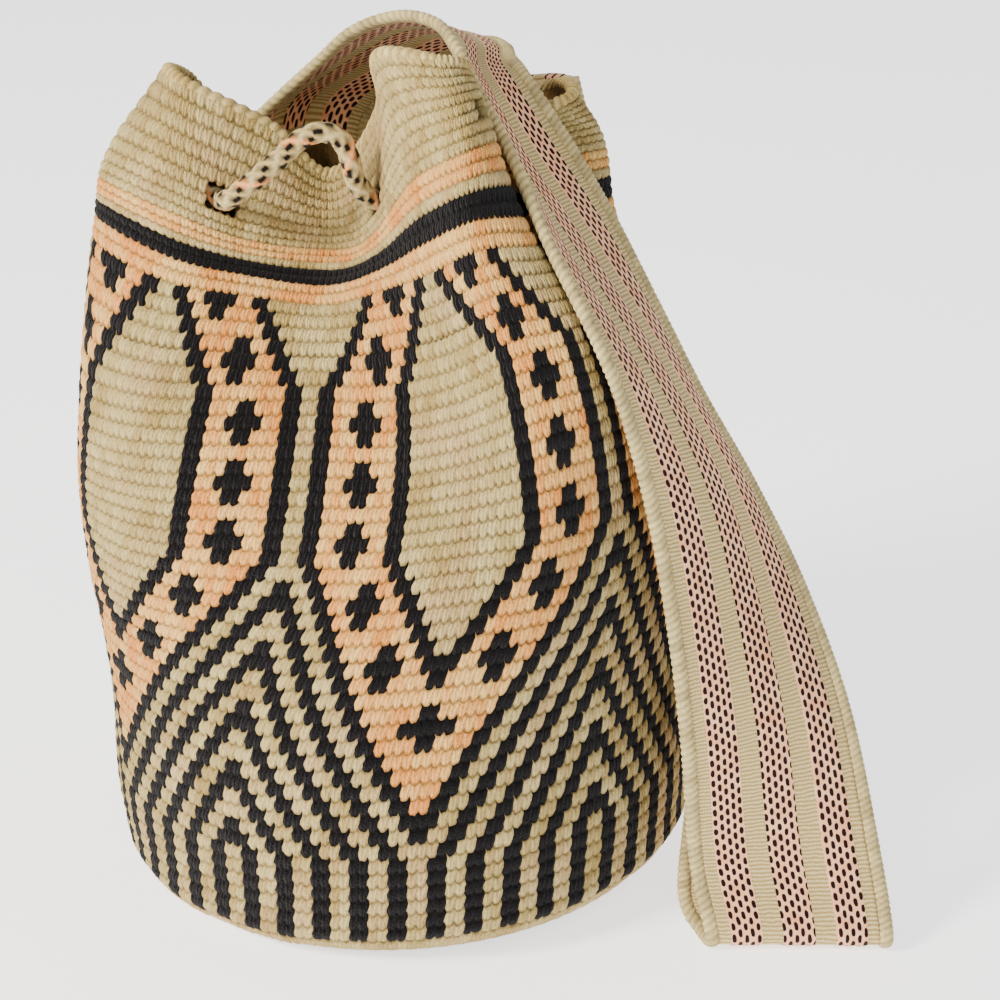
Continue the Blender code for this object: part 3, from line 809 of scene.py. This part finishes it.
def make_mouth_chain(finish):
    """The chain worked round the rim, two strands that cross at each stitch."""
    numbers = stitches_round(CHAIN_STEPS)
    rim = cloth(numbers, np.full(CHAIN_STEPS, float(ROWS)))
    out = cloth_out(numbers, np.full(CHAIN_STEPS, ROWS - 0.4))
    up = unit(rim - cloth(numbers, np.full(CHAIN_STEPS, ROWS - 1.0)))
    centres = rim - out * WALL * 0.45 - up * 0.6 * MM
    twist = numbers[:, None] * math.pi * 0.8
    lobe = np.abs(np.cos(circle(CHAIN_SIDES) - twist))
    points = swept_tube(centres, out, up, (1.7 + 0.75 * lobe) * MM)
    plain = yarn_colours(np.full(CHAIN_STEPS, BEIGE), np.floor(numbers), np.full(CHAIN_STEPS, ROWS - 2))
    # Painted shade: the chain darkens where its strands dip between the lobes.
    colours = plain[:, None] * (0.5 + 0.5 * lobe[..., None])
    faces = ring_faces(CHAIN_STEPS + 1, CHAIN_SIDES)[:, [0, 3, 2, 1]] % (CHAIN_STEPS * CHAIN_SIDES)
    flat = colours.reshape(-1, 3)
    piece = mesh_piece("mouth_chain", points.reshape(-1, 3), faces, finish, colours=flat[faces.ravel()])
    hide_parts("bag_body")


# ---------- the strap ----------

def strap_frame(places):
    """The strap's two sides and its bow, at places along it."""
    lefts, rights, bows = zip(*STRAP_STATIONS)
    tables = (lefts, rights, [[bow] for bow in bows])
    return [open_curve(np.array(table, float), places) * MM for table in tables]


def strap_places(spacing):
    """Places along the strap at even steps of its length, and the length at each."""
    fine = np.linspace(0, len(STRAP_STATIONS) - 1, 2600)
    left, right, _ = strap_frame(fine)
    length = length_along((left + right) / 2)
    wanted = np.linspace(0, length[-1], round(length[-1] / spacing) + 1)
    return np.interp(wanted, length, fine), wanted


def strap_points(places, across, proud):
    """Points of the strap: across and proud are arrays beside the places."""
    step = 0.02
    last = len(STRAP_STATIONS) - 1
    left, right, bow = strap_frame(places)
    low = sum(strap_frame(np.maximum(places - step, 0))[:2]) / 2
    high = sum(strap_frame(np.minimum(places + step, last))[:2]) / 2
    width_way = right - left
    length_way = high - low
    bow_way = unit(np.cross(width_way, length_way))
    across = across[:, None]
    normal = unit(np.cross(width_way + bow_way * 4 * bow * (1 - 2 * across), length_way))
    return left + width_way * across + bow_way * 4 * bow * across * (1 - across) + normal * proud[:, None]


def make_strap(finish):
    """The woven band, both faces, with raised stripes."""
    places, length = strap_places(1.5 * MM)
    parts = np.linspace(BAND_EDGE - BAND_OVERLAP, 1 - BAND_EDGE + BAND_OVERLAP, BAND_CELLS + 1)
    raised = np.zeros(BAND_CELLS + 1)
    for centre, _ in STRIPES:
        raised = np.maximum(raised, 1 - np.clip((np.abs(parts - centre) - 0.072) / 0.016, 0, 1))
    wobble = np.random.default_rng(51).uniform(-1, 1, (len(places), BAND_CELLS + 1))
    face = np.tile(BAND_FACE + STRIPE_PROUD * raised, (len(places), 1)) + 0.07 * wobble
    across = np.concatenate([parts, parts[::-1]])
    heights = np.concatenate([face, -face[:, ::-1]], axis=1) * MM
    around = len(across)
    grid = strap_points(np.repeat(places, around), np.tile(across, len(places)), heights.ravel())
    caps = []
    for base, flip in ((0, False), ((len(places) - 1) * around, True)):
        for k in range(BAND_CELLS):
            cap = [base + k, base + around - 1 - k, base + around - 2 - k, base + k + 1]
            caps.append(cap[::-1] if flip else cap)
    faces = np.vstack([ring_faces(len(places), around), caps])
    counts = np.stack([np.tile(across, len(places)), np.repeat(length, around)], axis=1)
    piece = mesh_piece("woven_strap", grid, faces, finish, uv=counts[faces])
    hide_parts("strap_band")
    return piece, length[-1]


def make_edging(name, node, side, finish):
    """A crocheted chain along one side of the strap."""
    places, length = strap_places(0.75 * MM)
    middle = (CHAIN_MIDDLE, 1 - CHAIN_MIDDLE)[side]
    ones = np.ones(len(places))
    centres = strap_points(places, middle * ones, 0 * ones)
    beside = strap_points(places, (middle + 0.02) * ones, 0 * ones)
    first = unit(beside - centres)
    tangent = unit(np.gradient(centres, axis=0))
    first = unit(first - tangent * (first * tangent).sum(axis=1)[:, None])
    second = np.cross(tangent, first)
    turn = circle(CHAIN_SIDES)
    pitch = (5.4, 4.2)[side] * MM
    lobe = np.abs(np.cos(turn - length[:, None] / pitch * 2 * math.pi))
    oval = 1 / np.sqrt((np.cos(turn) / 1.12) ** 2 + (np.sin(turn) / 0.88) ** 2)
    radii = (2.05 + 0.5 * lobe) * oval * MM
    own = np.random.default_rng(61 + side).uniform(0.75, 1.1, len(places) // 5 + 2)
    own = own[np.arange(len(places)) // 5][:, None, None]
    # Painted shade: the chain darkens between its lobes, under a random tone for each five places.
    colours = np.array(linear(214, 194, 138)) * (0.5 + 0.5 * lobe[..., None]) * own
    piece = tube_piece(name, centres, first, second, radii, finish, colours)
    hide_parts(node)
    return piece


# ---------- tassels ----------

# Millimetres down a tassel, and its radius there.
TASSEL_PROFILE = [(0.4, 3.0), (2.5, 5.6), (5, 6.2), (7, 6.1), (9.5, 4.9), (11, 4.3), (12, 4.3),
                  (13, 4.6), (16, 5.8), (20, 6.7), (27, 7.3), (34, 7.6), (40, 7.5), (46, 7.1)]


def tassel_axis(end, before, drops):
    """A tassel's path, from the way its cord ends round to straight down, and its side ways."""
    along = unit(end - before)
    down = np.array([0.0, 0.0, -1.0])
    side = np.cross(along, (0.0, 1.0, 0.0))
    centre = end + along * drops[0] * MM
    centres, first, second = [], [], []
    for drop, step in zip(drops, np.diff(drops, prepend=0.0)):
        axis = unit(along + (down - along) * min(drop / 20, 1.0))
        centre = centre + axis * step * MM
        across = unit(side - axis * (side @ axis))
        centres.append(centre)
        first.append(across)
        second.append(np.cross(axis, across))
    return np.array(centres), np.array(first), np.array(second)


def make_tassel(name, node, end, before, finish):
    """A bound head and a skirt of yarn ends."""
    table = np.array(TASSEL_PROFILE)
    drops = np.linspace(table[0, 0], table[-1, 0], 90)
    radius = np.interp(drops, table[:, 0], table[:, 1])[:, None]
    centres, first, second = tassel_axis(end, before, drops)
    strands = np.abs(np.sin(circle(TASSEL_SIDES) * 12 + drops[:, None] * 0.05))
    loose = np.clip((drops - 12) / 10, 0.15, 1)[:, None]
    bound = ((drops > 9) & (drops < 13.5))[:, None]
    wraps = np.abs(np.sin(drops * 3.2))[:, None]
    radii = np.where(bound, radius * (0.9 + 0.1 * wraps), radius * (1 - 0.16 * loose * (1 - strands)))
    # Painted shade: darker between the wraps of the binding and between the strands of the skirt.
    shade = np.where(bound, 0.55 + 0.45 * wraps, 0.45 + 0.55 * strands)
    colours = np.where(bound[..., None], np.array(linear(40, 28, 34)), np.array(linear(214, 198, 154)))
    colours = colours * shade[..., None]
    piece = tube_piece(name, centres, first, second, radii * MM, finish, colours)
    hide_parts(node)
    return piece


# ---------- floor and light ----------

def make_lamp(name, place, energy, size, colour):
    """A square light turned towards the bag."""
    light = bpy.data.lights.new(name, "AREA")
    light.energy = energy
    light.size = size
    light.color = colour
    lamp = bpy.data.objects.new(name, light)
    lamp.location = place
    away = np.array(LIT_POINT) - np.array(place)
    flat = math.hypot(away[0], away[1])
    lamp.rotation_euler = (math.atan2(flat, -away[2]), 0.0, math.atan2(-away[0], away[1]))
    bpy.context.collection.objects.link(lamp)


def make_studio():
    """The floor, the world's light and the lamps."""
    bpy.ops.object.select_all(action="DESELECT")
    bpy.ops.mesh.primitive_plane_add(size=12, location=(0, 0, 0))
    floor = bpy.context.object
    floor.name = "studio_floor"
    floor.data.materials.append(floor_material())
    world = bpy.data.worlds.new("studio")
    world.use_nodes = True
    world.node_tree.nodes["Background"].inputs[0].default_value = (0.95, 0.97, 1.0, 1.0)
    world.node_tree.nodes["Background"].inputs[1].default_value = 0.5
    bpy.context.scene.world = world
    for settings in LIGHTS:
        make_lamp(*settings)


def main():
    """Every piece, then the floor and the light."""
    make_camera()
    braid = cord_material("braided_cord_cotton")
    drawstring, route, cord_length = make_drawstring(braid)
    yarn = cord_material("chain_yarn")
    tassels = [make_tassel("tassel_left_yarn", "tassel_left", route[0], route[12], yarn),
               make_tassel("tassel_right_yarn", "tassel_right", route[-1], route[-13], yarn)]
    crochet = crochet_material("cotton_crochet")
    make_base(crochet)
    cloth_band("chevron_rounds", 0, 20, [0, 2, 4, 7, 10, 13, 16, 18, 20], crochet)
    cloth_band("leaf_rounds", 20, 40, [20, 22, 25, 28, 31, 34, 37, 40], crochet)
    eyelet_lines = [row + part for row in range(*EYELET_ROWS) for part in OPEN_ROW_LINES]
    neck_lines = [40, 42, 44, 46, 48, 50, *eyelet_lines, EYELET_ROWS[1], 57, ROWS]
    cloth_band("neck_rounds", 40, ROWS, neck_lines, crochet)
    make_mouth_chain(yarn)
    band, band_length = make_strap(strap_material())
    left = make_edging("strap_chain_left", "strap_edging_left", 0, yarn)
    right = make_edging("strap_chain_right", "strap_edging_right", 1, yarn)
    make_studio()


main()
